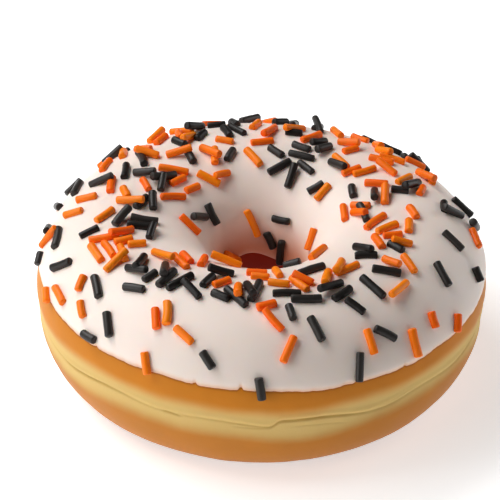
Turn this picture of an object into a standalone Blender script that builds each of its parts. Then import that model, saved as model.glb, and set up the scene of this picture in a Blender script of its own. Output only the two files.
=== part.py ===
"""Iced ring doughnut strewn with sprinkles.

Everything is in metres. The hole's axis is Z, the flat underside rests on z = 0, and the side that
is seen from the front faces -Y. The section of the ring is given as radius from the axis against
height, and "way" runs over its top: 0 at the widest part outside, 1 on the crown and 2 at the
narrowest part of the hole.
"""

import math
import random
from collections import namedtuple

import bmesh
import bpy
import numpy as np

MM = 0.001

# Section of the dough
OUTER_RADIUS = 45.7 * MM
EQUATOR_HEIGHT = 18.6 * MM
CROWN_RADIUS = 28.4 * MM
CROWN_HEIGHT = 33.2 * MM
HOLE_RADIUS = 9.5 * MM
WAIST_HEIGHT = 15.6 * MM
BASE_OUTER_RADIUS = 33.7 * MM
BASE_INNER_RADIUS = 20.0 * MM
OUTER_TOP_POWER = 2.07
INNER_TOP_POWER = 2.3
OUTER_LOW_POWER = 2.23
INNER_LOW_POWER = 2.2

# Pale proof band round the side, and the crease that wanders along its middle. The crease has one
# notch, where it drops on one side and rises on the other
BAND_HEIGHT = 15.9 * MM
BAND_HALF = 3.1 * MM
BAND_SINK = 0.35 * MM
CREASE_HEIGHT = 15.65 * MM
CREASE_WAVES = ((0.27 * MM, 3, -0.55), (0.22 * MM, 8, -1.26), (0.36 * MM, 13, -1.93))
CREASE_DEPTH = 0.42 * MM
CREASE_HALF = 0.5 * MM
NOTCH_AZIMUTH = math.radians(273.7)
NOTCH_SIZE = 0.92 * MM
NOTCH_HALF = math.radians(1)
NOTCH_REACH = math.radians(8)

# Icing, a thin coat that follows the dough at a small gap
GAP = 0.3 * MM
CROWN_COAT = 0.95 * MM
EDGE_COAT = 0.45 * MM
LIP_LENGTH = 0.9 * MM
ICING_EDGE_HEIGHT = 23.45 * MM
ICING_EDGE_TILT = 0.85 * MM
ICING_EDGE_LOWEST = math.radians(-20)
ICING_EDGE_WAVE = 0.2 * MM
ICING_EDGE_WAVES = ((0.5, 5, 1.2), (0.5, 9, 0.2))
ICING_INNER_WAY = 1.966
ICING_INNER_WAVE = 0.022
ICING_INNER_WAVES = ((0.6, 3, -2.36), (0.4, 5, 0.26))
LIP_SHARE = 0.4

# Unevenness of the whole ring, as shares of its width and height. Waves are given as amplitude,
# how many run round the ring, and phase
WIDTH_SWELL = 0.012
WIDTH_WAVES = ((0.6, 2, 0.4), (0.4, 3, 2.0), (0.25, 5, 1.1))
HEIGHT_SWELL = 0.008
HEIGHT_WAVES = ((0.6, 2, 2.6), (0.5, 3, 0.3), (0.3, 5, 3.9))

# Facets, and the step in way over which a normal is measured
NORMAL_STEP = 0.004
SEGMENTS = 48
LOW_TURNS = (16, 34, 52, 66)
BAND_STEPS = (-1.0, -0.18, 0.0, 0.18, 1.0)
BARE_WAY = 0.12
COVERED_WAYS = (0.40, 0.58, 0.76, 0.92, 1.08, 1.26, 1.45, 1.64, 1.80)
INNER_LOW_TURNS = (22, 44, 66)

# Sprinkles: least and greatest size, and how they lie. SINK is the share of the thickness that is in
# the icing, TOUCH and REST are shares of the two radii at which two count as crossing and at which
# one lies on the other
SPRINKLE_SEED = 36
SPRINKLE_RADIUS = (0.76 * MM, 0.88 * MM)
SPRINKLE_LENGTH = (3.5 * MM, 6.3 * MM)
SPRINKLE_SIDES = 5
SINK = 0.28
TOUCH = 0.86
REST = 0.80
STEEPEST_LEAN = math.radians(18)
LEAST_CROSSING = math.radians(28)
TRIES = 40

# How the photograph shows the ring: a camera looks down at the middle of its base, which is at
# BASE_PIXEL. SEEN_LIFT is how far over the icing the middle of a sprinkle lies
SIGHT_ELEVATION = math.radians(36.54)
SIGHT_DISTANCE = 460 * MM
SIGHT_SPAN = 60 * MM
SIGHT_STEPS = 241
PIXELS_PER_METRE = 4767.0
BASE_PIXEL = (260.9, 348.6)
SEEN_LIFT = 0.35 * MM

# Sprinkles that stand out on the slopes, at the rims and in the hole, where the photograph shows
# them: across and down to one end and to the other, in pixels
BLACK_SEEN = (
    (40.5, 253, 37.5, 265.5), (52, 269.5, 71, 262), (94.5, 277, 99, 298), (83, 333.5, 95.5, 341),
    (107, 312.5, 110, 337.5), (58.5, 229, 54.5, 248.5), (79.5, 237.5, 98.5, 228),
    (123.5, 287, 144.5, 290), (143.5, 281, 156.5, 272), (158, 286.5, 175, 271), (167, 289.5, 193, 275.5),
    (202.5, 286.5, 213.5, 276), (226, 289, 246.5, 306), (250.5, 301, 260, 282),
    (202.5, 351.5, 213.5, 368.5), (259, 377.5, 262.5, 400), (288.5, 305, 293.5, 319.5),
    (310, 317, 322.5, 341), (291, 298.5, 322, 298.5), (333.5, 299, 351, 287.5), (346, 299, 364.5, 312.5),
    (361, 277, 384.5, 297.5), (372, 268.5, 401, 273.5), (374.5, 328, 396, 338.5),
    (360, 351.5, 359, 381.5), (298.5, 274, 324.5, 265.5), (436, 262, 449, 285.5),
    (474.5, 266.5, 480.5, 281), (443.5, 231.5, 462.5, 249.5), (206.5, 204, 217, 225),
    (282.5, 240.5, 280, 264), (266, 232.5, 273.5, 248.5), (272, 218, 289.5, 221.5),
)
ORANGE_SEEN = (
    (90.5, 246, 101.5, 261.5), (84, 276, 78, 291.5), (55, 287.5, 63.5, 304), (80.5, 301.5, 83.5, 318),
    (46, 288.5, 47, 303), (50.5, 300, 58, 313), (74, 324, 78.5, 333), (167.5, 302, 166.5, 325),
    (155.5, 308.5, 157, 329.5), (175.5, 327.5, 192.5, 343), (145, 352, 148.5, 375),
    (199.5, 276, 195, 294), (251, 276, 269.5, 277.5), (257, 308, 276.5, 303), (264, 312, 283, 330),
    (294.5, 336, 283, 362.5), (291, 278, 308, 290), (336, 273.5, 358.5, 263.5), (388.5, 299, 407.5, 281),
    (403, 255, 415, 272), (366.5, 328.5, 374.5, 354), (411, 328, 418, 356.5), (431, 311, 436, 327.5),
    (457.5, 313, 457, 331.5), (471.5, 228.5, 479, 246.5), (314.5, 228, 307.5, 250),
    (311, 258, 325, 247), (225, 254, 239, 261.5), (246, 210, 258, 236.5),
)

# Where the other sprinkles lie thick: azimuth from and to in degrees, distance over the icing from
# its outer edge from and to in mm, how many, and how many in a hundred are orange
DRIFTS = (
    (197, 213, 16.0, 21.5, 6, 100),
    (228, 266, 17.5, 23.0, 8, 10),
    (222, 240, 22.5, 29.5, 5, 100),
    (186, 200, 22.0, 28.5, 5, 0),
    (262, 288, 23.5, 28.5, 4, 90),
    (330, 350, 18.5, 25.0, 6, 85),
    (350, 385, 16.0, 31.0, 12, 55),
    (240, 332, 17.5, 24.5, 8, 35),
    (0, 360, 17.5, 28.0, 36, 50),
    (20, 192, 10.5, 24.5, 37, 60),
    (30, 165, 26.5, 33.5, 12, 55),
    (0, 360, 30.5, 40.5, 5, 45),
    (152, 184, 1.5, 13.5, 5, 50),
    (0, 30, 3.5, 13.5, 5, 45),
    (25, 150, 1.5, 10.5, 16, 50),
)

SHARP_ANGLE = math.radians(35)
ICING_COLOUR = (0.86, 0.80, 0.76, 1.0)
DOUGH_COLOUR = (0.62, 0.33, 0.10, 1.0)


def clear_scene():
    """Removes every object of the scene that the script starts in."""
    for thing in list(bpy.data.objects):
        bpy.data.objects.remove(thing, do_unlink=True)


def finish(name, colour, roughness):
    """Makes a Principled material of one colour."""
    material = bpy.data.materials.new(name)
    material.use_nodes = True
    shader = material.node_tree.nodes["Principled BSDF"]
    shader.inputs["Base Color"].default_value = colour
    shader.inputs["Roughness"].default_value = roughness
    shader.inputs["Metallic"].default_value = 0.0
    return material


def waves(azimuth, terms):
    """Adds up waves at a place round the ring."""
    return sum(size * np.cos(count * azimuth + phase) for size, count, phase in terms)


def quarter(width, height, power, turn):
    """Point of a quarter superellipse: turn 0 is its side, a right angle its top."""
    across = width * max(math.cos(turn), 0.0) ** (2 / power)
    up = height * math.sin(turn) ** (2 / power)
    return across, up


def top_point(way):
    """Section point on the top of the dough."""
    if way <= 1:
        across, up = quarter(OUTER_RADIUS - CROWN_RADIUS, CROWN_HEIGHT - EQUATOR_HEIGHT,
                             OUTER_TOP_POWER, way * math.pi / 2)
        return CROWN_RADIUS + across, EQUATOR_HEIGHT + up
    across, up = quarter(CROWN_RADIUS - HOLE_RADIUS, CROWN_HEIGHT - WAIST_HEIGHT,
                         INNER_TOP_POWER, (2 - way) * math.pi / 2)
    return CROWN_RADIUS - across, WAIST_HEIGHT + up


def top_normal(way):
    """Outward normal of the section at a point on its top."""
    radius_a, height_a = top_point(max(way - NORMAL_STEP, 0))
    radius_b, height_b = top_point(min(way + NORMAL_STEP, 2))
    length = math.hypot(radius_b - radius_a, height_b - height_a)
    return (height_b - height_a) / length, -(radius_b - radius_a) / length


def raised_point(way, lift):
    """Section point at a height over the top of the dough."""
    radius, height = top_point(way)
    out, up = top_normal(way)
    return radius + out * lift, height + up * lift


def side_radius(height):
    """Radius of the outer side of the dough below its widest part."""
    share = 1 - height / EQUATOR_HEIGHT
    across = max(1 - max(share, 0) ** OUTER_LOW_POWER, 0) ** (1 / OUTER_LOW_POWER)
    return BASE_OUTER_RADIUS + (OUTER_RADIUS - BASE_OUTER_RADIUS) * across


def crease_height(azimuth):
    """Height of the crease, which wanders along the pale band and has one notch."""
    away = (azimuth - NOTCH_AZIMUTH + math.pi) % (2 * math.pi) - math.pi
    notch = NOTCH_SIZE * math.tanh(away / NOTCH_HALF) * math.exp(-abs(away) / NOTCH_REACH)
    return CREASE_HEIGHT + waves(azimuth, CREASE_WAVES) + notch


def band_relief(height, azimuth):
    """Depth of the pale band and its crease at a height on the side."""
    band = math.exp(-((height - BAND_HEIGHT) / BAND_HALF) ** 2)
    crease = math.exp(-((height - crease_height(azimuth)) / CREASE_HALF) ** 2)
    return BAND_SINK * band + CREASE_DEPTH * crease


def settled(radius, height, azimuth):
    """Point in space, with the unevenness of the whole ring."""
    swell = 1 + WIDTH_SWELL * waves(azimuth, WIDTH_WAVES)
    rise = 1 + HEIGHT_SWELL * waves(azimuth, HEIGHT_WAVES)
    radius = CROWN_RADIUS + (radius - CROWN_RADIUS) * swell
    return radius * math.cos(azimuth), radius * math.sin(azimuth), height * rise


def evened(points):
    """Points in space, with the unevenness of the whole ring taken out."""
    azimuth = np.arctan2(points[:, 1], points[:, 0])
    swell = 1 + WIDTH_SWELL * waves(azimuth, WIDTH_WAVES)
    rise = 1 + HEIGHT_SWELL * waves(azimuth, HEIGHT_WAVES)
    radius = CROWN_RADIUS + (np.hypot(points[:, 0], points[:, 1]) - CROWN_RADIUS) / swell
    return np.column_stack((radius * np.cos(azimuth), radius * np.sin(azimuth), points[:, 2] / rise))


def dough_section(azimuth):
    """Closed section of the dough, from the inside of its flat base round the outside."""
    points = [(BASE_INNER_RADIUS, 0.0), (BASE_OUTER_RADIUS, 0.0)]
    for degrees in LOW_TURNS:
        turn = math.radians(degrees)
        height = EQUATOR_HEIGHT * (1 - math.cos(turn) ** (2 / OUTER_LOW_POWER))
        points.append((side_radius(height), height))
    for step in BAND_STEPS:
        height = crease_height(azimuth) + step * BAND_HALF
        points.append((side_radius(height) - band_relief(height, azimuth), height))
    outer, inner = icing_ends(azimuth)
    points += [top_point(way) for way in (BARE_WAY, outer, *COVERED_WAYS, inner, 2.0)]
    for degrees in INNER_LOW_TURNS:
        turn = math.radians(90 - degrees)
        across, down = quarter(BASE_INNER_RADIUS - HOLE_RADIUS, WAIST_HEIGHT,
                               INNER_LOW_POWER, math.pi / 2 - turn)
        points.append((BASE_INNER_RADIUS - across, WAIST_HEIGHT - down))
    return points


def way_at_height(height):
    """Way at which the outer top of the dough reaches a height."""
    share = (height - EQUATOR_HEIGHT) / (CROWN_HEIGHT - EQUATOR_HEIGHT)
    return math.asin(share ** (OUTER_TOP_POWER / 2)) / (math.pi / 2)


def icing_ends(azimuth):
    """Ways of the icing's outer and inner edge."""
    tilt = -ICING_EDGE_TILT * math.cos(azimuth - ICING_EDGE_LOWEST)
    wave = ICING_EDGE_WAVE * waves(azimuth, ICING_EDGE_WAVES)
    inner = ICING_INNER_WAVE * waves(azimuth, ICING_INNER_WAVES)
    return way_at_height(ICING_EDGE_HEIGHT + tilt + wave), ICING_INNER_WAY + inner


def coat(way):
    """Thickness of the icing away from its lips: thin down the slopes, full on the crown."""
    return EDGE_COAT + (CROWN_COAT - EDGE_COAT) * math.sin(way * math.pi / 2) ** 2


def icing_section(azimuth):
    """Closed section of the icing: along its underside to the hole and back over its top."""
    outer, inner = icing_ends(azimuth)
    lip = LIP_LENGTH / ((CROWN_HEIGHT - EQUATOR_HEIGHT) * math.pi / 2)
    under = (outer, *COVERED_WAYS, inner)
    over = (inner - lip, *reversed(COVERED_WAYS), outer + lip)
    points = [raised_point(way, GAP) for way in under]
    points.append(raised_point(inner, GAP + LIP_SHARE * coat(inner)))
    points += [raised_point(way, GAP + coat(way)) for way in over]
    points.append(raised_point(outer, GAP + LIP_SHARE * coat(outer)))
    return points


def ring_mesh(name, section):
    """Joins the sections round the ring into one closed mesh."""
    mesh = bpy.data.meshes.new(name)
    shape = bmesh.new()
    rings = []
    for index in range(SEGMENTS):
        azimuth = 2 * math.pi * index / SEGMENTS
        points = section(azimuth)
        rings.append([shape.verts.new(settled(radius, height, azimuth)) for radius, height in points])
    for index, ring in enumerate(rings):
        following = rings[(index + 1) % SEGMENTS]
        for corner in range(len(ring)):
            after = (corner + 1) % len(ring)
            shape.faces.new((ring[corner], following[corner], following[after], ring[after]))
    bmesh.ops.recalc_face_normals(shape, faces=shape.faces)
    bmesh.ops.triangulate(shape, faces=shape.faces)
    shape.to_mesh(mesh)
    shape.free()
    return mesh


class IcingTop:
    """The icing's top as an even curve, to lay sprinkles on it."""

    SAMPLES = 240

    def __init__(self):
        ways = np.linspace(way_at_height(ICING_EDGE_HEIGHT), 2, self.SAMPLES)
        self.points = np.array([raised_point(way, GAP + coat(way)) for way in ways])
        self.normals = np.array([top_normal(way) for way in ways])
        steps = np.hypot(*np.diff(self.points, axis=0).T)
        self.reach = np.concatenate(([0.0], np.cumsum(steps)))

    def frame(self, azimuth, reach):
        """Point on the icing, with its directions up the slope, round the ring and outwards."""
        radius, height = (np.interp(reach, self.reach, axis) for axis in self.points.T)
        out, up = (np.interp(reach, self.reach, axis) for axis in self.normals.T)
        radial = np.array([math.cos(azimuth), math.sin(azimuth), 0.0])
        axial = np.array([0.0, 0.0, 1.0])
        point = radius * radial + height * axial
        normal = out * radial + up * axial
        uphill = -up * radial + out * axial
        sideways = np.cross(axial, radial)
        return point, uphill, sideways, normal

    def nearest(self, points):
        """The nearest places on the curve to points in space, and the ways from there to the points."""
        section = np.column_stack((np.hypot(points[:, 0], points[:, 1]), points[:, 2]))
        offsets = section[:, None, :] - self.points[None, :, :]
        places = np.argmin((offsets ** 2).sum(axis=2), axis=1)
        return places, offsets[np.arange(len(points)), places]

    def clearance(self, points):
        """Heights of points in space over the icing."""
        places, offsets = self.nearest(points)
        return (offsets * self.normals[places]).sum(axis=1)

    def normal(self, point):
        """Direction out of the icing at a point in space."""
        out, up = self.normals[self.nearest(point[None, :])[0][0]]
        azimuth = math.atan2(point[1], point[0])
        return np.array([out * math.cos(azimuth), out * math.sin(azimuth), up])

    def seen(self, across, down):
        """The place over the icing that the photograph shows at a pixel, on the even ring."""
        cosine, sine = math.cos(SIGHT_ELEVATION), math.sin(SIGHT_ELEVATION)
        back, up = np.array([0.0, -cosine, sine]), np.array([0.0, sine, cosine])
        ray = up * (BASE_PIXEL[1] - down) - back * PIXELS_PER_METRE * SIGHT_DISTANCE
        ray[0] = across - BASE_PIXEL[0]
        steps = np.linspace(SIGHT_DISTANCE - SIGHT_SPAN, SIGHT_DISTANCE + SIGHT_SPAN, SIGHT_STEPS)
        points = evened(back * SIGHT_DISTANCE + np.outer(steps, ray / np.linalg.norm(ray)))
        over = self.clearance(points) - SEEN_LIFT
        if over.min() >= 0:
            return points[np.argmin(over)]
        last = np.argmax(over < 0)
        share = over[last - 1] / (over[last - 1] - over[last])
        return points[last - 1] + (points[last] - points[last - 1]) * share


Sprinkle = namedtuple("Sprinkle", "centre direction normal length radius orange")


class Sprinkles:
    """Lays sprinkles one after another, each on the icing or leaning on one that lies there."""

    MARKS = np.linspace(-0.5, 0.5, 7)

    def __init__(self):
        self.draw = random.Random(SPRINKLE_SEED)
        self.top = IcingTop()
        self.laid = []

    def along(self, sprinkle):
        """Marks along a sprinkle's axis."""
        return sprinkle.centre + np.outer(self.MARKS, sprinkle.direction) * sprinkle.length

    def seated(self, sprinkle):
        """The sprinkle moved in or out until its lowest mark is sunk as deep as it should be."""
        seat = sprinkle.radius * (1 - 2 * SINK)
        lowest = self.top.clearance(self.along(sprinkle)).min()
        return sprinkle._replace(centre=sprinkle.centre + sprinkle.normal * (seat - lowest))

    def lay(self, sprinkle):
        """Lays one sprinkle and says whether it found room."""
        sprinkle = self.seated(sprinkle)
        crossed = self.crossings(sprinkle)
        if len(crossed) == 1:
            sprinkle = self.leaning(sprinkle, *crossed[0])
            crossed = crossed if sprinkle is None else self.crossings(sprinkle)[1:]
        if crossed:
            return False
        self.laid.append(sprinkle)
        return True

    def crossings(self, sprinkle):
        """Sprinkles that one would cut into, each with the mark of the one that is nearest to it."""
        marks = self.along(sprinkle)
        found = []
        for other in self.laid:
            reach = (sprinkle.length + other.length) / 2 + sprinkle.radius + other.radius
            if np.linalg.norm(other.centre - sprinkle.centre) > reach:
                continue
            distances = np.linalg.norm(marks[:, None, :] - self.along(other)[None, :, :], axis=2)
            if distances.min() < TOUCH * (sprinkle.radius + other.radius):
                found.append((other, self.MARKS[np.argmin(distances.min(axis=1))]))
        return found

    def leaning(self, sprinkle, other, mark):
        """The sprinkle with one end raised onto another, or None where that would look forced."""
        angle = math.acos(min(abs(float(sprinkle.direction @ other.direction)), 1.0))
        arm = (abs(mark) + 0.5) * sprinkle.length
        rise = math.atan2(REST * (sprinkle.radius + other.radius), arm)
        if angle < LEAST_CROSSING or rise > STEEPEST_LEAN:
            return None
        outward = sprinkle.direction if mark >= 0 else -sprinkle.direction
        foot = sprinkle.centre - outward * sprinkle.length / 2
        raised = outward * math.cos(rise) + sprinkle.normal * math.sin(rise)
        normal = sprinkle.normal * math.cos(rise) - outward * math.sin(rise)
        centre = foot + raised * sprinkle.length / 2
        return self.seated(sprinkle._replace(centre=centre, direction=raised, normal=normal))

    def strew(self):
        """Lays the sprinkles that stand out and then those of the drifts."""
        for seen, orange in ((BLACK_SEEN, False), (ORANGE_SEEN, True)):
            for ends in seen:
                self.lay_seen(ends, orange)
        for start, end, near, far, count, share in DRIFTS:
            for _ in range(count):
                self.lay_in_drift(start, end, near * MM, far * MM, share / 100)
        return self.laid

    def lay_seen(self, ends, orange):
        """Lays one sprinkle where the photograph shows its two ends."""
        first, last = self.top.seen(*ends[:2]), self.top.seen(*ends[2:])
        centre, span = (first + last) / 2, last - first
        length = np.linalg.norm(span)
        direction = span / length
        normal = self.top.normal(centre)
        normal -= (normal @ direction) * direction
        normal /= np.linalg.norm(normal)
        length = min(length, SPRINKLE_LENGTH[1])
        self.lay(Sprinkle(centre, direction, normal, length, self.draw.uniform(*SPRINKLE_RADIUS), orange))

    def lay_in_drift(self, start, end, near, far, orange_share):
        """Lays one sprinkle somewhere in a drift, at the first place that has room."""
        length = self.draw.uniform(*SPRINKLE_LENGTH)
        radius = self.draw.uniform(*SPRINKLE_RADIUS)
        orange = self.draw.random() < orange_share
        for _ in range(TRIES):
            azimuth = math.radians(self.draw.uniform(start, end))
            point, uphill, sideways, normal = self.top.frame(azimuth, self.draw.uniform(near, far))
            heading = self.draw.uniform(-math.pi / 2, math.pi / 2)
            direction = math.cos(heading) * uphill + math.sin(heading) * sideways
            if self.lay(Sprinkle(point, direction, normal, length, radius, orange)):
                return


def sprinkle_object(name, sprinkle):
    """One sprinkle as a blunt stick, with a flat side down."""
    sideways = np.cross(sprinkle.direction, sprinkle.normal)
    mesh = bpy.data.meshes.new(name)
    shape = bmesh.new()
    ends = []
    for along in (-sprinkle.length / 2, sprinkle.length / 2):
        ring = []
        for index in range(SPRINKLE_SIDES):
            turn = 2 * math.pi * index / SPRINKLE_SIDES
            across = math.cos(turn) * sprinkle.normal + math.sin(turn) * sideways
            x, y, z = sprinkle.centre + along * sprinkle.direction + sprinkle.radius * across
            ring.append(shape.verts.new(settled(math.hypot(x, y), z, math.atan2(y, x))))
        shape.faces.new(ring)
        ends.append(ring)
    for index in range(SPRINKLE_SIDES):
        after = (index + 1) % SPRINKLE_SIDES
        shape.faces.new((ends[0][index], ends[0][after], ends[1][after], ends[1][index]))
    bmesh.ops.recalc_face_normals(shape, faces=shape.faces)
    shape.to_mesh(mesh)
    shape.free()
    return bpy.data.objects.new(name, mesh)


def build_dough():
    """The bare ring with its flat base, pale band and crease."""
    mesh = ring_mesh("dough", dough_section)
    mesh.shade_smooth()
    mesh.materials.append(finish("golden dough", DOUGH_COLOUR, 0.55))
    dough = bpy.data.objects.new("dough", mesh)
    bpy.context.scene.collection.objects.link(dough)
    return dough


def build_icing():
    """The coat of icing with its sprinkles fused on."""
    icing = bpy.data.objects.new("icing", ring_mesh("icing", icing_section))
    bpy.context.scene.collection.objects.link(icing)
    group = bpy.data.collections.new("sprinkles")
    bpy.context.scene.collection.children.link(group)
    for index, sprinkle in enumerate(Sprinkles().strew()):
        group.objects.link(sprinkle_object(f"sprinkle_{index}", sprinkle))
    union = icing.modifiers.new("fuse sprinkles", "BOOLEAN")
    union.operation = "UNION"
    union.operand_type = "COLLECTION"
    union.collection = group
    union.solver = "MANIFOLD"
    fused = bpy.data.meshes.new_from_object(icing.evaluated_get(bpy.context.evaluated_depsgraph_get()))
    icing.modifiers.clear()
    icing.data = fused
    for sprinkle in list(group.objects):
        bpy.data.objects.remove(sprinkle, do_unlink=True)
    bpy.data.collections.remove(group)
    fused.name = "icing"
    fused.materials.clear()
    fused.materials.append(finish("white icing", ICING_COLOUR, 0.4))
    fused.shade_smooth()
    fused.set_sharp_from_angle(angle=SHARP_ANGLE)
    return icing


def main():
    """Builds the doughnut."""
    clear_scene()
    build_dough()
    build_icing()


main()
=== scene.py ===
"""Looks of an iced ring doughnut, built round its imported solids.

The ring stands on z = 0 with the axis of its hole on Z, and the side that is seen from the front
faces -Y. Its section is given as radius against height, and "way" runs over the top of the dough:
0 at the widest part outside, 1 on the crown and 2 at the narrowest part of the hole.
"""

import logging
import math
import random
from collections.abc import Mapping, Sequence
from dataclasses import dataclass, field
from enum import Enum
from typing import NamedTuple

import bpy
import numpy as np
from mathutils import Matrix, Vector, noise


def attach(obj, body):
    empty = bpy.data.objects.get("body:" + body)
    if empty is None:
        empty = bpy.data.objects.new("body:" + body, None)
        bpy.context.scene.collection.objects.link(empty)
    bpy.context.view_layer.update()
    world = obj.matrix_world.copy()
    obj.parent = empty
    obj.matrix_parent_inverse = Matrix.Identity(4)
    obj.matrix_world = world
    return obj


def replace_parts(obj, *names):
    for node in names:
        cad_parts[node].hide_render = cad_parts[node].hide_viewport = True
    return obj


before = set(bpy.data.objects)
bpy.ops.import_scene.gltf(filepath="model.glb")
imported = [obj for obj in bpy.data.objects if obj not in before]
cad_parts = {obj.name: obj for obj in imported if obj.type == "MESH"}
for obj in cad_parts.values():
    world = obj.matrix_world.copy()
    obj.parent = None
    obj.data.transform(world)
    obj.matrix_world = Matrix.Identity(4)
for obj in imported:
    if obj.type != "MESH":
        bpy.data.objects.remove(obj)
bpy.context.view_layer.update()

LOG = logging.getLogger("doughnut")

MM = 0.001
BODY = "root"
LUMP_FADE = 0.9
LUMP_FINENESS = 2.0

Waves = tuple[tuple[float, int, float], ...]


def ripple(azimuth: np.ndarray, waves: Waves) -> np.ndarray:
    """Adds up waves round the ring.

    Args:
        azimuth: Places round the ring, in radians.
        waves: Amplitude, how many run round the ring, and phase of each wave.

    Returns:
        The sum at each place.
    """
    return sum(size * np.cos(count * azimuth + phase) for size, count, phase in waves)


def smooth_step(low: float, high: float, value: np.ndarray) -> np.ndarray:
    """Rises smoothly from 0 at low to 1 at high."""
    share = np.clip((value - low) / (high - low), 0.0, 1.0)
    return share * share * (3 - 2 * share)


def turn_between(start: float, azimuth: np.ndarray) -> np.ndarray:
    """Turn from one azimuth to others, the short way round."""
    return (azimuth - start + math.pi) % (2 * math.pi) - math.pi


def lumps(points: np.ndarray, spacing: float, octaves: int = 2, shift: float = 0.0) -> np.ndarray:
    """Smooth random relief in space.

    Args:
        points: Places in metres, with x, y and z along the last axis.
        spacing: Rough distance between two lumps, in metres.
        octaves: How many finer layers are added up.
        shift: Moves to another part of the pattern.

    Returns:
        A value from about -1 to 1 at each place.
    """
    flat = points.reshape(-1, 3) / spacing + shift
    values = [noise.fractal(place, LUMP_FADE, LUMP_FINENESS, octaves) for place in flat.tolist()]
    return np.array(values).reshape(points.shape[:-1])


@dataclass(frozen=True)
class RingForm:
    """Form of the ring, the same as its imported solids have."""

    outer_radius: float = 45.7 * MM
    equator_height: float = 18.6 * MM
    crown_radius: float = 28.4 * MM
    crown_height: float = 33.2 * MM
    hole_radius: float = 9.5 * MM
    waist_height: float = 15.6 * MM
    base_outer_radius: float = 33.7 * MM
    base_inner_radius: float = 20.0 * MM
    outer_top_power: float = 2.07
    inner_top_power: float = 2.3
    outer_low_power: float = 2.23
    inner_low_power: float = 2.2
    width_swell: float = 0.012
    width_waves: Waves = ((0.6, 2, 0.4), (0.4, 3, 2.0), (0.25, 5, 1.1))
    height_swell: float = 0.008
    height_waves: Waves = ((0.6, 2, 2.6), (0.5, 3, 0.3), (0.3, 5, 3.9))
    normal_step: float = 0.004

    @property
    def way_length(self) -> float:
        """Rough length of one unit of way over the outer top."""
        return (self.crown_height - self.equator_height) * math.pi / 2

    def top_point(self, way: np.ndarray) -> tuple[np.ndarray, np.ndarray]:
        """Radius and height of the top of the dough."""
        outside = np.asarray(way) <= 1
        turn = np.where(outside, way, 2 - np.asarray(way)) * math.pi / 2
        power = np.where(outside, self.outer_top_power, self.inner_top_power)
        width = np.where(outside, self.outer_radius - self.crown_radius, self.hole_radius - self.crown_radius)
        foot = np.where(outside, self.equator_height, self.waist_height)
        radius = self.crown_radius + width * np.maximum(np.cos(turn), 0.0) ** (2 / power)
        height = foot + (self.crown_height - foot) * np.maximum(np.sin(turn), 0.0) ** (2 / power)
        return radius, height

    def top_normal(self, way: np.ndarray) -> tuple[np.ndarray, np.ndarray]:
        """Outward normal of the section on the top of the dough."""
        radius_a, height_a = self.top_point(np.maximum(np.asarray(way) - self.normal_step, 0))
        radius_b, height_b = self.top_point(np.minimum(np.asarray(way) + self.normal_step, 2))
        length = np.hypot(radius_b - radius_a, height_b - height_a)
        return (height_b - height_a) / length, -(radius_b - radius_a) / length

    def raised_point(self, way: np.ndarray, lift: np.ndarray) -> tuple[np.ndarray, np.ndarray]:
        """Section point at a height over the top of the dough."""
        radius, height = self.top_point(way)
        out, up = self.top_normal(way)
        return radius + out * lift, height + up * lift

    def way_at_height(self, height: np.ndarray) -> np.ndarray:
        """Way at which the outer top of the dough reaches a height."""
        share = (height - self.equator_height) / (self.crown_height - self.equator_height)
        return np.arcsin(np.maximum(share, 0.0) ** (self.outer_top_power / 2)) / (math.pi / 2)

    def side_turn(self, height: np.ndarray) -> np.ndarray:
        """Turn at which the outer side below the widest part reaches a height."""
        share = np.clip(1 - height / self.equator_height, 0.0, 1.0)
        return np.arccos(share ** (self.outer_low_power / 2))

    def side_radius(self, height: np.ndarray) -> np.ndarray:
        """Radius of the outer side at a height below the icing."""
        low = np.clip(1 - height / self.equator_height, 0.0, 1.0)
        high = np.clip((height - self.equator_height) / (self.crown_height - self.equator_height), 0.0, 1.0)
        below = (1 - low ** self.outer_low_power) ** (1 / self.outer_low_power)
        above = (1 - high ** self.outer_top_power) ** (1 / self.outer_top_power)
        return np.where(height < self.equator_height,
                        self.base_outer_radius + (self.outer_radius - self.base_outer_radius) * below,
                        self.crown_radius + (self.outer_radius - self.crown_radius) * above)

    def swells(self, azimuth: np.ndarray) -> tuple[np.ndarray, np.ndarray]:
        """How much wider and higher than even the ring is at each azimuth."""
        return (1 + self.width_swell * ripple(azimuth, self.width_waves),
                1 + self.height_swell * ripple(azimuth, self.height_waves))

    def settled(self, radius: np.ndarray, height: np.ndarray, azimuth: np.ndarray) -> np.ndarray:
        """Points in space, with the unevenness of the whole ring."""
        swell, rise = self.swells(azimuth)
        radius = self.crown_radius + (radius - self.crown_radius) * swell
        return np.stack([radius * np.cos(azimuth), radius * np.sin(azimuth), height * rise], axis=-1)

    def evened(self, points: np.ndarray) -> np.ndarray:
        """Points in space, with the unevenness of the whole ring taken out."""
        azimuth = np.arctan2(points[:, 1], points[:, 0])
        swell, rise = self.swells(azimuth)
        radius = self.crown_radius + (np.hypot(points[:, 0], points[:, 1]) - self.crown_radius) / swell
        return np.column_stack((radius * np.cos(azimuth), radius * np.sin(azimuth), points[:, 2] / rise))


def pushed(radius: np.ndarray, height: np.ndarray, amount: np.ndarray) -> tuple[np.ndarray, np.ndarray]:
    """Moves a closed section out along its own normals.

    Args:
        radius: Radii, with the section along the last axis, from the base round the outside.
        height: Heights of the same points.
        amount: How far each point moves outwards.

    Returns:
        The moved radii and heights.
    """
    across = np.roll(radius, -1, axis=-1) - np.roll(radius, 1, axis=-1)
    up = np.roll(height, -1, axis=-1) - np.roll(height, 1, axis=-1)
    length = np.hypot(across, up)
    return radius + up / length * amount, height - across / length * amount


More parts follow.
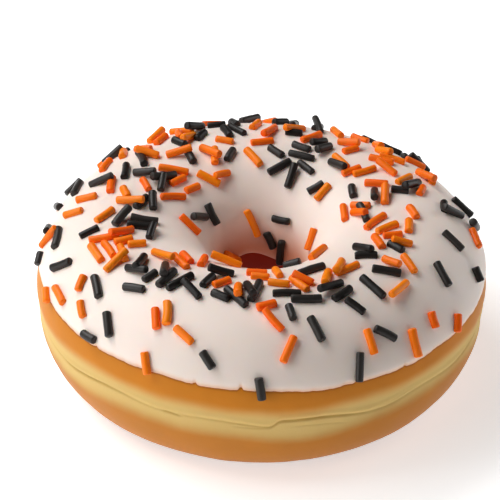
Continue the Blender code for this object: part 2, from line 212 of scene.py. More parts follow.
def ring_object(name: str, points: np.ndarray, fields: Mapping[str, np.ndarray]) -> bpy.types.Object:
    """Skins a grid of points that closes both round the ring and round its section.

    Args:
        name: Name of the piece.
        points: Places, by azimuth, by row of the section, by axis.
        fields: Values for the finish to read, by azimuth and row.

    Returns:
        The new object, in the scene.
    """
    index = np.arange(points.shape[0] * points.shape[1]).reshape(points.shape[:2])
    beside = np.roll(index, -1, axis=0)
    faces = np.stack([index, beside, np.roll(beside, -1, axis=1), np.roll(index, -1, axis=1)], axis=-1)
    return mesh_object(name, points.reshape(-1, 3), faces.reshape(-1, 4).tolist(), fields)


def added(name: str, data: bpy.types.ID) -> bpy.types.Object:
    """Puts a new object with this mesh, light or camera into the scene."""
    thing = bpy.data.objects.new(name, data)
    bpy.context.scene.collection.objects.link(thing)
    return thing


def mesh_object(name: str, points: np.ndarray, faces: Sequence[Sequence[int]],
                fields: Mapping[str, np.ndarray]) -> bpy.types.Object:
    """Makes a smooth mesh object that rides on the doughnut's body.

    Args:
        name: Name of the piece.
        points: Vertices.
        faces: Corners of each face.
        fields: A value for each vertex, by the name that the finish reads it by.

    Returns:
        The new object.
    """
    mesh = bpy.data.meshes.new(name)
    mesh.from_pydata(points.tolist(), [], faces)
    mesh.shade_smooth()
    for label, values in fields.items():
        layer = mesh.attributes.new(label, "FLOAT", "POINT")
        layer.data.foreach_set("value", np.asarray(values, np.float32).ravel())
    piece = added(name, mesh)
    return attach(piece, BODY)


class Colour(NamedTuple):
    """A colour as a share of light sent back in red, green and blue."""

    red: float
    green: float
    blue: float


class Wire:
    """Output of a shader node, with the arithmetic that shader maths is written in."""

    def __init__(self, board: "Board", socket: bpy.types.NodeSocket) -> None:
        """Wraps an output socket of a board."""
        self.board = board
        self.socket = socket

    def __add__(self, other: "Operand") -> "Wire":
        """Sum."""
        return self.board.combine("ADD", self, other)

    def __radd__(self, other: "Operand") -> "Wire":
        """Sum with a number or colour on the left."""
        return self.board.combine("ADD", other, self)

    def __sub__(self, other: "Operand") -> "Wire":
        """Difference."""
        return self.board.combine("SUBTRACT", self, other)

    def __rsub__(self, other: "Operand") -> "Wire":
        """Difference from a number or colour on the left."""
        return self.board.combine("SUBTRACT", other, self)

    def __mul__(self, other: "Operand") -> "Wire":
        """Product."""
        return self.board.combine("MULTIPLY", self, other)

    def __rmul__(self, other: "Operand") -> "Wire":
        """Product with a number or colour on the left."""
        return self.board.combine("MULTIPLY", other, self)

    def smooth(self, low: float, high: float) -> "Wire":
        """Rises smoothly from 0 at low to 1 at high, or falls where low is the greater."""
        settings = {"interpolation_type": "SMOOTHSTEP"}
        sockets = {"Value": self, "From Min": low, "From Max": high}
        return self.board.node("ShaderNodeMapRange", settings, sockets, "Result")


Operand = Wire | Colour | float


class Board:
    """Node tree of one material."""

    def __init__(self, name: str) -> None:
        """Starts a material with nothing on it but its output."""
        self.material = bpy.data.materials.new(name)
        self.material.use_nodes = True
        self.tree = self.material.node_tree
        self.tree.nodes.clear()

    def node(self, kind: str, settings: Mapping[str, object], sockets: Mapping[str | int, object],
             output: str | int = 0) -> Wire:
        """Adds a node.

        Args:
            kind: The node's type.
            settings: Its own settings, which are set first.
            sockets: Values or wires for its inputs, by identifier, name or number.
            output: The output to hand back, by identifier, name or number.

        Returns:
            The wire from that output.
        """
        made = self.tree.nodes.new(kind)
        for label, value in settings.items():
            setattr(made, label, value)
        for label, value in sockets.items():
            self._feed(self._find(made.inputs, label), value)
        return Wire(self, self._find(made.outputs, output))

    @staticmethod
    def _find(sockets: bpy.types.bpy_prop_collection, label: str | int) -> bpy.types.NodeSocket:
        """A socket by its number, identifier or name."""
        if isinstance(label, int):
            return sockets[label]
        return next((s for s in sockets if s.identifier == label), None) or sockets[label]

    def _feed(self, socket: bpy.types.NodeSocket, value: object) -> None:
        """Links a wire to an input or sets its value."""
        if isinstance(value, Wire):
            self.tree.links.new(value.socket, socket)
        elif isinstance(value, Colour):
            socket.default_value = (*value, 1.0) if socket.type == "RGBA" else tuple(value)
        else:
            socket.default_value = value

    def combine(self, operation: str, first: Operand, second: Operand) -> Wire:
        """Arithmetic on two operands, of which one at least is a wire.

        Args:
            operation: ADD, SUBTRACT or MULTIPLY.
            first: Left operand.
            second: Right operand.

        Returns:
            The result, a colour or vector where an operand is one.
        """
        kinds = {self._kind(first), self._kind(second)}
        if "RGBA" in kinds:
            pair = {"A_Color": self._spread(first), "B_Color": self._spread(second), "Factor_Float": 1.0}
            settings = {"data_type": "RGBA", "blend_type": operation}
            return self.node("ShaderNodeMix", settings, pair, "Result_Color")
        if "VECTOR" in kinds:
            pair = {0: self._spread(first), 1: self._spread(second)}
            return self.node("ShaderNodeVectorMath", {"operation": operation}, pair, "Vector")
        return self.node("ShaderNodeMath", {"operation": operation}, {0: first, 1: second})

    @staticmethod
    def _kind(operand: Operand) -> str:
        """RGBA, VECTOR or VALUE."""
        if isinstance(operand, Wire):
            return operand.socket.type
        return "RGBA" if isinstance(operand, Colour) else "VALUE"

    @staticmethod
    def _spread(operand: Operand) -> Wire | Colour:
        """The operand, with a bare number spread over the three channels or axes."""
        return operand if isinstance(operand, (Wire, Colour)) else Colour(operand, operand, operand)

    def blend(self, share: Operand, first: Operand, second: Operand) -> Wire:
        """Goes from the first colour to the second as the share goes from 0 to 1."""
        sockets = {"Factor_Float": share, "A_Color": first, "B_Color": second}
        return self.node("ShaderNodeMix", {"data_type": "RGBA"}, sockets, "Result_Color")

    def place(self) -> Wire:
        """Place on the object in millimetres."""
        at = self.node("ShaderNodeTexCoord", {}, {}, "Object")
        return self.combine("MULTIPLY", at, 1 / MM)

    def read(self, label: str) -> Wire:
        """A value that the mesh holds for each vertex."""
        return self.node("ShaderNodeAttribute", {"attribute_name": label}, {}, "Fac")

    def grain(self, place: Wire, spacing: float, detail: float = 2.0, roughness: float = 0.5) -> Wire:
        """Soft random pattern.

        Args:
            place: Where to read it, in millimetres.
            spacing: Rough size of its patches, in millimetres.
            detail: How many finer layers it has.
            roughness: How strong those are.

        Returns:
            Values from about -1 to 1.
        """
        sockets = {"Vector": place, "Scale": 1 / spacing, "Detail": detail, "Roughness": roughness}
        return self.node("ShaderNodeTexNoise", {"noise_dimensions": "3D"}, sockets, "Fac") * 2.0 - 1.0

    def bump(self, height: Wire) -> Wire:
        """Normal for a relief whose height is in millimetres."""
        sockets = {"Height": height, "Distance": MM, "Strength": 1.0}
        return self.node("ShaderNodeBump", {}, sockets, "Normal")

    def dress(self, **sockets: object) -> bpy.types.Material:
        """Ends the material in a Principled shader.

        Args:
            sockets: Values or wires by the shader's input names, with _ for a space.

        Returns:
            The finished material.
        """
        inputs = {label.replace("_", " "): value for label, value in sockets.items()}
        shader = self.node("ShaderNodeBsdfPrincipled", {}, inputs, "BSDF")
        out = self.tree.nodes.new("ShaderNodeOutputMaterial")
        self._feed(out.inputs["Surface"], shader)
        return self.material


@dataclass(frozen=True)
class FriedCrust:
    """Golden fried crust with a pale band of unbrowned dough round its side, with painted shade in the hole,
    in the crease and wrinkles, and in a line under the icing's edge.

    Sizes, fades and heights are in mm, except how far light scatters, which is in metres.
    """

    upper: Colour = Colour(0.60, 0.203, 0.012)
    lower: Colour = Colour(0.49, 0.178, 0.018)
    pale: Colour = Colour(0.67, 0.46, 0.160)
    # Painted shade in the crease and the wrinkles of the pale band.
    crease: Colour = Colour(0.50, 0.32, 0.085)
    base: Colour = Colour(0.18, 0.054, 0.008)
    # Painted shade deep in the hole: dark red, as from light bounced between the dough's walls.
    hole: Colour = Colour(0.30, 0.020, 0.002)
    # Painted shadow in a thin dark line just under the icing's edge.
    lip_shadow: Colour = Colour(0.33, 0.10, 0.018)
    band_fade: float = 1.9
    side_fade: float = 1.0
    wander_size: float = 6.0
    wander_reach: float = 0.5
    mottle_size: float = 7.0
    mottle_strength: float = 0.10
    mottle_roughness: float = 0.05
    lip_shadow_end: float = 0.55
    lip_shadow_full: float = 0.1
    lip_shadow_strength: float = 0.7
    # Painted shade in the crease: size and range of the patches where it is stronger, how much stronger, and
    # its least strength.
    crease_shade_patches_size: float = 11.0
    crease_shade_patches_from: float = -0.9
    crease_shade_patches_to: float = 0.6
    crease_shade_patches_strength: float = 0.5
    crease_least: float = 0.2
    pore_size: float = 0.9
    pore_height: float = 0.012
    grit_size: float = 0.25
    grit_height: float = 0.004
    roughness: float = 0.5
    pale_roughness: float = 0.12
    scatter: float = 0.1
    scatter_spread: tuple[float, float, float] = (1.0, 0.4, 0.12)
    scatter_reach: float = 1.2 * MM
    shine: float = 0.14

    def material(self) -> bpy.types.Material:
        """Builds the finish."""
        board = Board("fried crust")
        at = board.place()
        wander = board.grain(at, self.wander_size, detail=3.0) * self.wander_reach
        pale = (board.read("inset") + wander).smooth(-self.band_fade, self.band_fade)
        above = board.read("rise").smooth(-self.side_fade, self.side_fade)
        crust = board.blend(above, self.lower, self.upper)
        mottle = board.grain(at, self.mottle_size, detail=4.0, roughness=0.6)
        crust = crust * (1.0 + mottle * self.mottle_strength)
        crust = board.blend(board.read("under"), crust, self.base)
        # Painted shade: the crust turns dark red deep in the hole.
        crust = board.blend(board.read("hole"), crust, self.hole)
        # Painted shadow on the dough just under the icing's edge, by distance down from it.
        lip_shadow = board.read("below").smooth(self.lip_shadow_end, self.lip_shadow_full)
        crust = board.blend(lip_shadow * self.lip_shadow_strength, crust, self.lip_shadow)
        dough = board.blend(pale, crust, self.pale)
        # Painted shade in the crease and wrinkles, stronger in random patches along them.
        crease_shade_patches = board.grain(at, self.crease_shade_patches_size, detail=1.0).smooth(self.crease_shade_patches_from, self.crease_shade_patches_to)
        crease = board.read("crease") * (crease_shade_patches * self.crease_shade_patches_strength + self.crease_least)
        dough = board.blend(crease, dough, self.crease)
        pores = board.grain(at, self.pore_size, detail=4.0, roughness=0.6) * self.pore_height
        grit = board.grain(at, self.grit_size) * self.grit_height
        return board.dress(
            Base_Color=dough,
            Roughness=self.roughness + pale * self.pale_roughness + mottle * self.mottle_roughness,
            Normal=board.bump(pores + grit),
            Subsurface_Weight=self.scatter,
            Subsurface_Radius=self.scatter_spread,
            Subsurface_Scale=self.scatter_reach,
            Specular_IOR_Level=self.shine,
        )


@dataclass(frozen=True)
class SugarIcing:
    """Set white icing, satin and slightly see-through; deep in the hole, where the coat is thinnest, it has
    painted shade, reddish from light bounced off the dough.

    Sizes and heights are in mm, except how far light scatters, which is in metres.
    """

    white: Colour = Colour(0.96, 0.805, 0.725)
    # Painted shade deep in the hole, reddish from light bounced off the dough.
    deep_shade: Colour = Colour(0.68, 0.30, 0.185)
    rim: Colour = Colour(0.66, 0.36, 0.20)
    rim_strength: float = 0.85
    cloud_size: float = 9.0
    cloud_strength: float = 0.012
    cloud_roughness: float = 0.04
    dimple_size: float = 1.6
    dimple_height: float = 0.006
    roughness: float = 0.46
    scatter: float = 0.3
    scatter_spread: tuple[float, float, float] = (1.0, 0.62, 0.42)
    scatter_reach: float = 1.6 * MM
    shine: float = 0.35

    def material(self) -> bpy.types.Material:
        """Builds the finish."""
        board = Board("sugar icing")
        at = board.place()
        cloud = board.grain(at, self.cloud_size)
        # Painted shade: the icing turns a dark reddish tan deep in the hole.
        coat = board.blend(board.read("depth"), self.white, self.deep_shade)
        coat = board.blend(board.read("lip") * self.rim_strength, coat, self.rim)
        dimples = board.grain(at, self.dimple_size) * self.dimple_height
        return board.dress(
            Base_Color=coat * (1.0 + cloud * self.cloud_strength),
            Roughness=self.roughness + cloud * self.cloud_roughness,
            Normal=board.bump(dimples),
            Subsurface_Weight=self.scatter,
            Subsurface_Radius=self.scatter_spread,
            Subsurface_Scale=self.scatter_reach,
            Specular_IOR_Level=self.shine,
        )


@dataclass(frozen=True)
class SugarStrand:
    """Pressed sugar of one dye, satin, a little different from strand to strand.

    Sizes and heights are in mm, except how far light scatters, which is in metres.
    """

    name: str
    light: Colour
    dark: Colour
    roughness: float
    scatter: float
    skin_size: float = 0.5
    skin_strength: float = 0.08
    skin_roughness: float = 0.06
    skin_height: float = 0.012
    scatter_spread: tuple[float, float, float] = (1.0, 0.35, 0.08)
    scatter_reach: float = 0.4 * MM
    shine: float = 0.25

    def material(self) -> bpy.types.Material:
        """Builds the finish."""
        board = Board(self.name)
        at = board.place()
        skin = board.grain(at, self.skin_size, detail=3.0)
        dyed = board.blend(board.read("tone"), self.dark, self.light)
        return board.dress(
            Base_Color=dyed * (1.0 + skin * self.skin_strength),
            Roughness=self.roughness + skin * self.skin_roughness,
            Normal=board.bump(skin * self.skin_height),
            Subsurface_Weight=self.scatter,
            Subsurface_Radius=self.scatter_spread,
            Subsurface_Scale=self.scatter_reach,
            Specular_IOR_Level=self.shine,
        )


class Dye(Enum):
    """Colours of sprinkle."""

    ORANGE = SugarStrand("orange sugar", Colour(1.0, 0.25, 0.002), Colour(1.0, 0.135, 0.001),
                         roughness=0.42, scatter=0.3)
    BLACK = SugarStrand("black sugar", Colour(0.036, 0.031, 0.028), Colour(0.012, 0.010, 0.009),
                        roughness=0.36, scatter=0.0)


class Wrinkle(NamedTuple):
    """A short crease in the pale band: azimuths in degrees, heights over the long crease in mm."""

    start: float
    end: float
    start_rise: float
    end_rise: float
    depth: float


class Nick(NamedTuple):
    """A small bite in the icing's lower edge, or a sag where its depth is negative.

    The azimuth is in degrees, the half width and the depth in mm.
    """

    azimuth: float
    half_width: float
    depth: float


@dataclass(frozen=True)
class Dough:
    """The fried ring."""

    form: RingForm
    top_height: float = 18.85 * MM
    top_waves: Waves = ((0.34, 2, -0.31), (0.22, 5, -1.71), (0.18, 11, 0.73))
    bottom_height: float = 13.0 * MM
    bottom_waves: Waves = ((0.7, 2, 0.68), (0.7, 5, -2.62), (0.28, 11, -0.68))
    band_sink: float = 0.35 * MM
    band_blur: float = 1.2 * MM
    band_reach: float = 4.4 * MM
    side_start: float = 36 * MM
    side_full: float = 39 * MM
    far_inset: float = -20 * MM
    crease_mean: float = 15.65 * MM
    crease_waves: Waves = ((0.27, 3, -0.55), (0.22, 8, -1.26), (0.36, 13, -1.93))
    crease_depth: float = 0.42 * MM
    crease_half: float = 0.32 * MM
    crease_faint: float = 0.3
    crease_strong: tuple[float, ...] = (281.0, 345.0, 55.0, 118.0, 170.0, 222.0)
    crease_spread: float = math.radians(13)
    notch_azimuth: float = math.radians(273.7)
    notch_size: float = 0.92 * MM
    notch_half: float = math.radians(1.0)
    notch_reach: float = math.radians(8)
    roll: float = 0.14 * MM
    roll_rise: float = 0.95 * MM
    roll_half: float = 0.6 * MM
    wrinkles: tuple[Wrinkle, ...] = (
        Wrinkle(245, 251, 0.15, -0.5, 0.25),
        Wrinkle(262, 272, -0.9, -0.3, 0.12),
        Wrinkle(276, 293, -1.5, -1.9, 0.12),
        Wrinkle(228, 243, 0.8, 0.5, 0.12),
        Wrinkle(300, 312, 0.7, 1.1, 0.14),
        Wrinkle(12, 24, -0.7, -0.4, 0.2),
        Wrinkle(60, 69, 0.3, -0.6, 0.22),
        Wrinkle(104, 119, 0.8, 0.9, 0.14),
        Wrinkle(148, 156, -0.9, -0.3, 0.2),
        Wrinkle(183, 197, 0.8, 1.0, 0.14),
    )
    wrinkle_half: float = 0.2 * MM
    wrinkle_fade: float = 0.25
    lump: float = 0.16 * MM
    lump_spacing: float = 14 * MM
    pucker: float = 0.035 * MM
    pucker_spacing: float = 3 * MM
    pucker_shift: float = 7.0
    foot_fade: float = 3 * MM
    base_fade: float = 3.8 * MM
    # Radii where the painted shade in the hole starts and where it is full.
    hole_shade_start: float = 22 * MM
    hole_shade_full: float = 15 * MM
    row_crowding: float = 1.4
    segments: int = 640
    base_rows: int = 12
    low_rows: int = 22
    band_rows: int = 45
    bare_rows: int = 14
    covered_rows: int = 24
    hole_rows: int = 26

    def crease_height(self, azimuth: np.ndarray) -> np.ndarray:
        """Height of the crease, which wanders along the pale band and has one notch."""
        away = turn_between(self.notch_azimuth, azimuth)
        notch = self.notch_size * np.tanh(away / self.notch_half) * np.exp(-np.abs(away) / self.notch_reach)
        return self.crease_mean + MM * ripple(azimuth, self.crease_waves) + notch

    def inset(self, azimuth: np.ndarray, height: np.ndarray) -> np.ndarray:
        """Distance inside the nearer border of the pale band, negative outside it."""
        top = self.top_height + MM * ripple(azimuth, self.top_waves)
        bottom = self.bottom_height + MM * ripple(azimuth, self.bottom_waves)
        return np.minimum(top - height, height - bottom)

    def grooves(self, azimuth: np.ndarray, rise: np.ndarray) -> np.ndarray:
        """Depth of the crease and the wrinkles, and the roll of dough that stands over the crease.

        Args:
            azimuth: Places round the ring.
            rise: Heights over the crease.

        Returns:
            How far the surface moves inwards.
        """
        strong = sum(np.exp(-(turn_between(math.radians(place), azimuth) / self.crease_spread) ** 2)
                     for place in self.crease_strong)
        strength = self.crease_faint + (1 - self.crease_faint) * np.minimum(strong, 1.0)
        depth = self.crease_depth * strength * np.exp(-(rise / self.crease_half) ** 2)
        depth = depth - self.roll * np.exp(-((rise - self.roll_rise) / self.roll_half) ** 2)
        for wrinkle in self.wrinkles:
            start, end = math.radians(wrinkle.start), math.radians(wrinkle.end)
            share = turn_between(start, azimuth) / (end - start)
            line = MM * (wrinkle.start_rise + (wrinkle.end_rise - wrinkle.start_rise) * share)
            fade = smooth_step(0.0, self.wrinkle_fade, share) * smooth_step(1.0, 1 - self.wrinkle_fade, share)
            depth = depth + MM * wrinkle.depth * fade * np.exp(-((rise - line) / self.wrinkle_half) ** 2)
        return depth

    def section(self, azimuth: np.ndarray, icing: "Icing") -> tuple[np.ndarray, np.ndarray]:
        """Closed section of the smooth ring at each azimuth.

        Args:
            azimuth: Places round the ring, down the first axis.
            icing: The coat, whose ends the rows follow.

        Returns:
            Radii and heights, by azimuth and row.
        """
        form = self.form
        crease = self.crease_height(azimuth)
        rows = []
        base = np.linspace(form.base_inner_radius, form.base_outer_radius, self.base_rows)[None, :-1]
        rows.append((base + 0 * azimuth, 0 * base + 0 * azimuth))
        foot = crease - self.band_reach
        turn = form.side_turn(foot) * np.linspace(0, 1, self.low_rows)[None, :-1]
        height = form.equator_height * (1 - np.cos(turn) ** (2 / form.outer_low_power))
        rows.append((form.side_radius(height), height))
        step = np.linspace(-1, 1, self.band_rows)[None, :]
        height = crease + np.sign(step) * np.abs(step) ** self.row_crowding * self.band_reach
        rows.append((form.side_radius(height), height))
        outer, inner = icing.ends(azimuth)
        start = form.way_at_height(crease + self.band_reach)
        for first, last, count in ((start, outer, self.bare_rows), (outer, inner, self.covered_rows)):
            way = first + (last - first) * np.linspace(0, 1, count)[None, 1:]
            rows.append(form.top_point(way))
        turn = np.linspace(0, math.pi / 2, self.hole_rows)[None, :-1] + 0 * azimuth
        across = (form.base_inner_radius - form.hole_radius) * np.cos(turn) ** (2 / form.inner_low_power)
        down = form.waist_height * np.sin(turn) ** (2 / form.inner_low_power)
        rows.append((form.base_inner_radius - across, form.waist_height - down))
        return tuple(np.concatenate(part, axis=1) for part in zip(*rows))

    def below_icing(self, azimuth: np.ndarray, radius: np.ndarray, height: np.ndarray,
                    icing: "Icing") -> np.ndarray:
        """Distance down the outer side from the icing's edge, large elsewhere."""
        way = self.form.way_at_height(np.minimum(height, self.form.crown_height))
        down = (icing.frayed_edge(azimuth) - way) * self.form.way_length
        return np.where(radius > self.form.crown_radius, down, self.form.outer_radius)

    def build(self, icing: "Icing") -> bpy.types.Object:
        """Builds and dresses the ring."""
        azimuth = np.linspace(0, 2 * math.pi, self.segments, endpoint=False)[:, None]
        radius, height = self.section(azimuth, icing)
        rise = height - self.crease_height(azimuth)
        outside = smooth_step(self.side_start, self.side_full, radius)
        inset = np.where(radius > self.form.crown_radius, self.inset(azimuth, height), self.far_inset)
        groove = self.grooves(azimuth, rise) * outside
        sink = self.band_sink * smooth_step(-self.band_blur, 2 * self.band_blur, inset)
        smooth = self.form.settled(radius, height, azimuth)
        lift = smooth_step(0.0, self.foot_fade, height)
        puckers = self.pucker * lumps(smooth, self.pucker_spacing, shift=self.pucker_shift)
        relief = self.lump * lumps(smooth, self.lump_spacing) + puckers
        radius, height = pushed(radius, height, relief * lift - sink - groove)
        points = self.form.settled(radius, np.maximum(height, 0.0), azimuth)
        fields = {
            "rise": rise / MM,
            "inset": inset / MM,
            # How deep the crease and wrinkles are, which the painted shade in them follows.
            "crease": np.clip(groove / self.crease_depth, 0, 1),
            "under": 1 - smooth_step(0.0, self.base_fade, height),
            # Share of painted shade deep in the hole.
            "hole": smooth_step(self.hole_shade_start, self.hole_shade_full, radius),
            # Distance down from the icing's edge, which the painted shadow under it follows.
            "below": self.below_icing(azimuth, radius, height, icing) / MM,
        }
        piece = ring_object("doughnut_dough", points, fields)
        piece.data.materials.append(FriedCrust().material())
        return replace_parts(piece, "dough")


@dataclass(frozen=True)
class Icing:
    """The coat of icing over the top of the ring."""

    form: RingForm
    gap: float = 0.3 * MM
    crown_coat: float = 0.95 * MM
    edge_coat: float = 0.45 * MM
    edge_height: float = 23.45 * MM
    edge_tilt: float = 0.85 * MM
    edge_lowest: float = math.radians(-20)
    edge_wave: float = 0.2 * MM
    edge_waves: Waves = ((0.5, 5, 1.2), (0.5, 9, 0.2))
    inner_way: float = 1.966
    inner_wave: float = 0.022
    inner_waves: Waves = ((0.6, 3, -2.36), (0.4, 5, 0.26))
    lip_length: float = 1.2 * MM
    ragged: float = 0.2 * MM
    ragged_spacing: float = 3.0 * MM
    nicks: tuple[Nick, ...] = (
        Nick(225.5, 0.35, 0.35),
        Nick(254.1, 0.3, 0.42),
        Nick(265.3, 0.33, 0.7),
        Nick(293.5, 0.35, 0.3),
        Nick(307.0, 0.3, 0.3),
        Nick(246.0, 3.5, 0.2),
        Nick(283.0, 5.0, -0.45),
        Nick(310.0, 4.0, -0.2),
        Nick(38.0, 0.6, 0.6),
        Nick(83.0, 0.4, 0.5),
        Nick(131.0, 0.7, 0.5),
        Nick(168.0, 0.5, 0.7),
    )
    soft: float = 0.12 * MM
    soft_spacing: float = 16 * MM
    soft_shift: float = 3.0
    sunk: float = 0.15 * MM
    # Heights and ways over which the painted shade deep in the hole comes in.
    deep_shade_start: float = 27 * MM
    deep_shade_full: float = 18.5 * MM
    deep_shade_ways: tuple[float, float] = (1.2, 1.5)
    segments: int = 800
    under_rows: int = 14
    lip_rows: int = 7
    over_rows: int = 84

    def ends(self, azimuth: np.ndarray) -> tuple[np.ndarray, np.ndarray]:
        """Ways of the icing's outer and inner edge."""
        tilt = -self.edge_tilt * np.cos(azimuth - self.edge_lowest)
        wave = self.edge_wave * ripple(azimuth, self.edge_waves)
        inner = self.inner_wave * ripple(azimuth, self.inner_waves)
        return self.form.way_at_height(self.edge_height + tilt + wave), self.inner_way + inner

    def frayed_edge(self, azimuth: np.ndarray) -> np.ndarray:
        """Ways of the outer edge with its small unevenness and the nicks in it."""
        rim = np.concatenate([np.cos(azimuth), np.sin(azimuth), 0 * azimuth], axis=1) * self.form.outer_radius
        rise = self.ragged * lumps(rim, self.ragged_spacing, octaves=3)[:, None]
        for nick in self.nicks:
            away = turn_between(math.radians(nick.azimuth), azimuth) * self.form.outer_radius
            rise = rise + nick.depth * MM * np.exp(-(away / (nick.half_width * MM)) ** 2)
        return self.ends(azimuth)[0] + rise / self.form.way_length

    def coat(self, way: np.ndarray) -> np.ndarray:
        """Thickness of the icing away from its lips: less down the slopes, full on the crown."""
        return self.edge_coat + (self.crown_coat - self.edge_coat) * np.sin(way * math.pi / 2) ** 2

    def build(self) -> bpy.types.Object:
        """Builds and dresses the coat."""
        azimuth = np.linspace(0, 2 * math.pi, self.segments, endpoint=False)[:, None]
        inner = self.ends(azimuth)[1]
        outer = self.frayed_edge(azimuth)
        lip = self.lip_length / self.form.way_length
        under = inner + (outer - inner) * np.linspace(0, 1, self.under_rows)[None, :]
        arc = 1 - np.cos(np.linspace(0, math.pi / 2, self.lip_rows))[None, 1:]
        rising = outer + lip * arc
        over = rising[:, -1:] + (inner - lip - rising[:, -1:]) * np.linspace(0, 1, self.over_rows)[None, 1:]
        falling = inner - lip * arc[:, ::-1][:, 1:]
        way = np.concatenate([under, rising, over, falling], axis=1)
        swell = np.sqrt(np.clip(1 - (1 - np.minimum(way - outer, inner - way) / lip) ** 2, 0, 1))
        near = np.minimum(way - outer, inner - way) < lip
        share = np.where(near, swell, 1.0)
        lift = (self.gap + self.coat(way)) * share
        lift[:, :self.under_rows] = -self.sunk
        radius, height = self.form.raised_point(way, lift)
        smooth = self.form.settled(radius, height, azimuth)
        soft = self.soft * lumps(smooth, self.soft_spacing, 1, self.soft_shift) * share
        soft[:, :self.under_rows] = 0.0
        radius, height = self.form.raised_point(way, lift + soft)
        points = self.form.settled(radius, height, azimuth)
        # Share of painted shade deep in the hole, by height and way.
        depth = smooth_step(self.deep_shade_start, self.deep_shade_full, height) * smooth_step(*self.deep_shade_ways, way)
        rim = smooth_step(self.lip_length, 0.0, (way - outer) * self.form.way_length)
        piece = ring_object("doughnut_icing", points, {"depth": depth, "lip": rim})
        piece.data.materials.append(SugarIcing().material())
        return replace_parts(piece, "icing")


@dataclass(frozen=True)
class Sight:
    """How the photograph shows the ring: a camera looks down at the middle of its base."""

    elevation: float = math.radians(36.54)
    distance: float = 0.46
    span: float = 60 * MM
    steps: int = 241
    pixels_per_metre: float = 4767.0
    base_pixel: tuple[float, float] = (260.9, 348.6)

    @property
    def back(self) -> np.ndarray:
        """Direction from the ring to the camera."""
        return np.array([0.0, -math.cos(self.elevation), math.sin(self.elevation)])

    @property
    def up(self) -> np.ndarray:
        """Direction that is up in the picture."""
        return np.array([0.0, math.sin(self.elevation), math.cos(self.elevation)])

    def ray(self, across: float, down: float) -> np.ndarray:
        """Points along the line of sight through a pixel, from the near side to the far side."""
        aim = self.up * (self.base_pixel[1] - down) - self.back * self.pixels_per_metre * self.distance
        aim[0] = across - self.base_pixel[0]
        steps = np.linspace(self.distance - self.span, self.distance + self.span, self.steps)
        return self.back * self.distance + np.outer(steps, aim / np.linalg.norm(aim))


class IcingTop:
    """The icing's top as an even curve, to lay sprinkles on it."""

    SEEN_LIFT = 0.35 * MM

    def __init__(self, form: RingForm, icing: Icing, samples: int = 240) -> None:
        """Reads the curve from the icing's outer edge to the narrowest part of the hole."""
        self.form = form
        ways = np.linspace(form.way_at_height(icing.edge_height), 2, samples)
        self.points = np.stack(form.raised_point(ways, icing.gap + icing.coat(ways)), axis=1)
        self.normals = np.stack(form.top_normal(ways), axis=1)
        steps = np.hypot(*np.diff(self.points, axis=0).T)
        self.reach = np.concatenate(([0.0], np.cumsum(steps)))

    def frame(self, azimuth: float, reach: float) -> tuple[np.ndarray, np.ndarray, np.ndarray, np.ndarray]:
        """Where a place on the icing is.

        Args:
            azimuth: Place round the ring, in radians.
            reach: Distance over the icing from its outer edge, in metres.

        Returns:
            The point, and the directions up the slope, round the ring and outwards.
        """
        radius, height = (np.interp(reach, self.reach, axis) for axis in self.points.T)
        out, up = (np.interp(reach, self.reach, axis) for axis in self.normals.T)
        radial = np.array([math.cos(azimuth), math.sin(azimuth), 0.0])
        axial = np.array([0.0, 0.0, 1.0])
        point = radius * radial + height * axial
        return point, -up * radial + out * axial, np.cross(axial, radial), out * radial + up * axial

    def nearest(self, points: np.ndarray) -> tuple[np.ndarray, np.ndarray]:
        """The nearest places on the curve to points in space, and the ways from there to the points."""
        section = np.column_stack((np.hypot(points[:, 0], points[:, 1]), points[:, 2]))
        offsets = section[:, None, :] - self.points[None, :, :]
        places = np.argmin((offsets ** 2).sum(axis=2), axis=1)
        return places, offsets[np.arange(len(points)), places]

    def clearance(self, points: np.ndarray) -> np.ndarray:
        """Heights of points in space over the icing."""
        places, offsets = self.nearest(points)
        return (offsets * self.normals[places]).sum(axis=1)

    def normal(self, point: np.ndarray) -> np.ndarray:
        """Direction out of the icing at a point in space."""
        out, up = self.normals[self.nearest(point[None, :])[0][0]]
        azimuth = math.atan2(point[1], point[0])
        return np.array([out * math.cos(azimuth), out * math.sin(azimuth), up])

    def seen(self, sight: Sight, across: float, down: float) -> np.ndarray:
        """Finds what the photograph shows at a pixel.

        Args:
            sight: How the photograph shows the ring.
            across: Pixels from the left.
            down: Pixels from the top.

        Returns:
            The place on the even ring where the middle of a sprinkle is seen.
        """
        points = self.form.evened(sight.ray(across, down))
        over = self.clearance(points) - self.SEEN_LIFT
        if over.min() >= 0:
            return points[np.argmin(over)]
        last = np.argmax(over < 0)
        share = over[last - 1] / (over[last - 1] - over[last])
        return points[last - 1] + (points[last] - points[last - 1]) * share


class Strand(NamedTuple):
    """One sprinkle where it lies."""

    centre: np.ndarray
    direction: np.ndarray
    normal: np.ndarray
    length: float
    radius: float
    orange: bool


class Drift(NamedTuple):
    """A stretch of icing where sprinkles lie thick.

    It goes from the start to the end azimuth, in degrees, and from the near to the far distance
    over the icing from its outer edge, in mm. Orange is how many in a hundred are of that colour.
    """

    start: float
    end: float
    near: float
    far: float
    count: int
    orange: int


